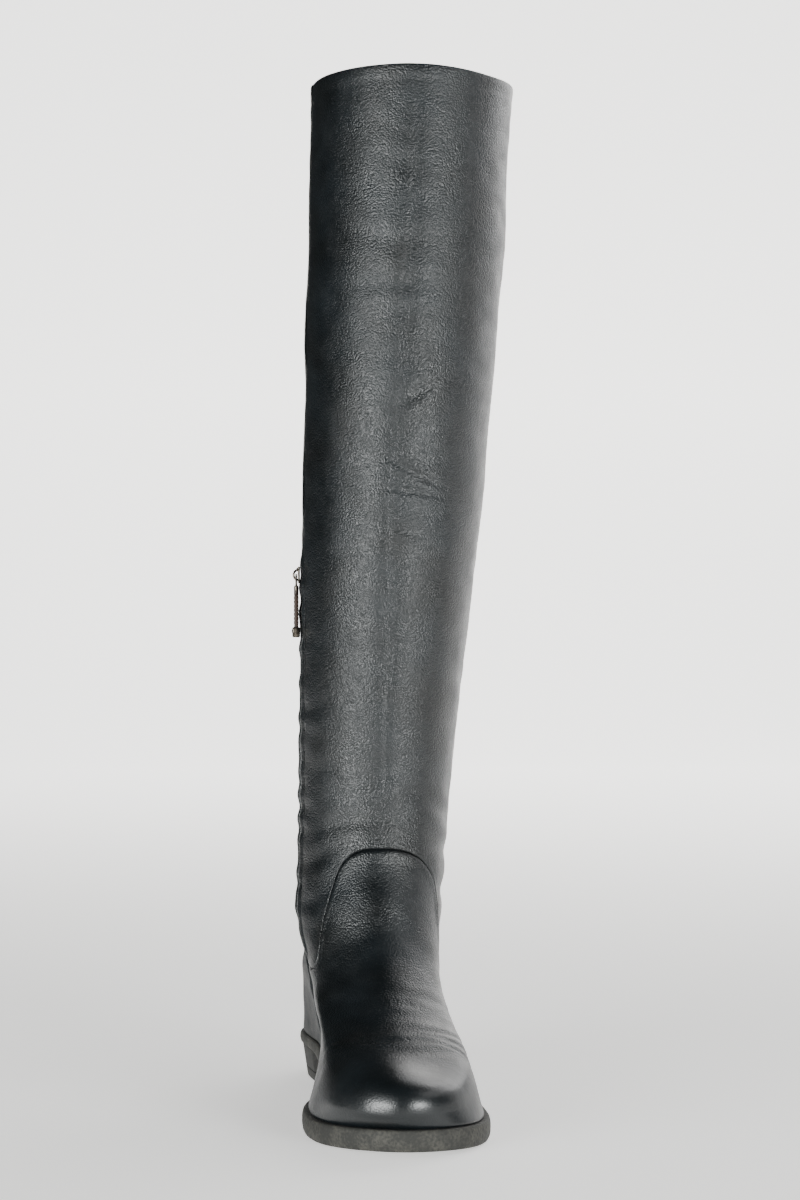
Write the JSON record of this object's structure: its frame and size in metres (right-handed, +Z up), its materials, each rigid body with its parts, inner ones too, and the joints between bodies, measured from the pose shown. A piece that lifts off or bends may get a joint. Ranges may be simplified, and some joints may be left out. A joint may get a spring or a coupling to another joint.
{
  "type": "knee-high boot",
  "caption": "Tall black leather boot for the left foot, with a round toe, low heel, inner zip with a hinged pull, and a soft straight shaft that stands empty on its sole.",
  "frame": {"origin": "middle of the heel's resting face, on the floor", "axes": "+Z up the shaft, -Y towards the toe, +X towards the outer side of the leg"},
  "size_m": [0.1319, 0.2746, 0.5971],
  "materials": {
    "upper_leather": "smooth black full-grain leather, softly creased, semi-gloss",
    "counter_leather": "smooth black leather over a stiff heel",
    "sole_rubber": "dark pebbled rubber, dusty",
    "heel_rubber": "dark matt rubber",
    "insole_leather": "smooth tan leather sock",
    "zip_tape": "woven black tape with black coil teeth",
    "zip_metal": "worn pale metal",
    "pull_leather": "dark brown leather, worn edges"
  },
  "bodies": {
    "boot": {"upper": "upper_leather", "heel_counter": "counter_leather", "insole": "insole_leather", "outsole": "sole_rubber", "heel_block": "heel_rubber", "heel_lift": "heel_rubber", "zip_chain": "zip_tape", "zip_slider": "zip_metal"},
    "pull": {"zip_pull_link": "zip_metal", "zip_pull_tab": "pull_leather", "zip_pull_end": "zip_metal"}
  },
  "joints": [
    {"name": "zip_pull", "type": "hinge", "parent": "boot", "child": "pull", "pos_m": [-0.0382, -0.02981, 0.30501], "axis": [0, 1, 0], "range_deg": [0, 155]}
  ]
}
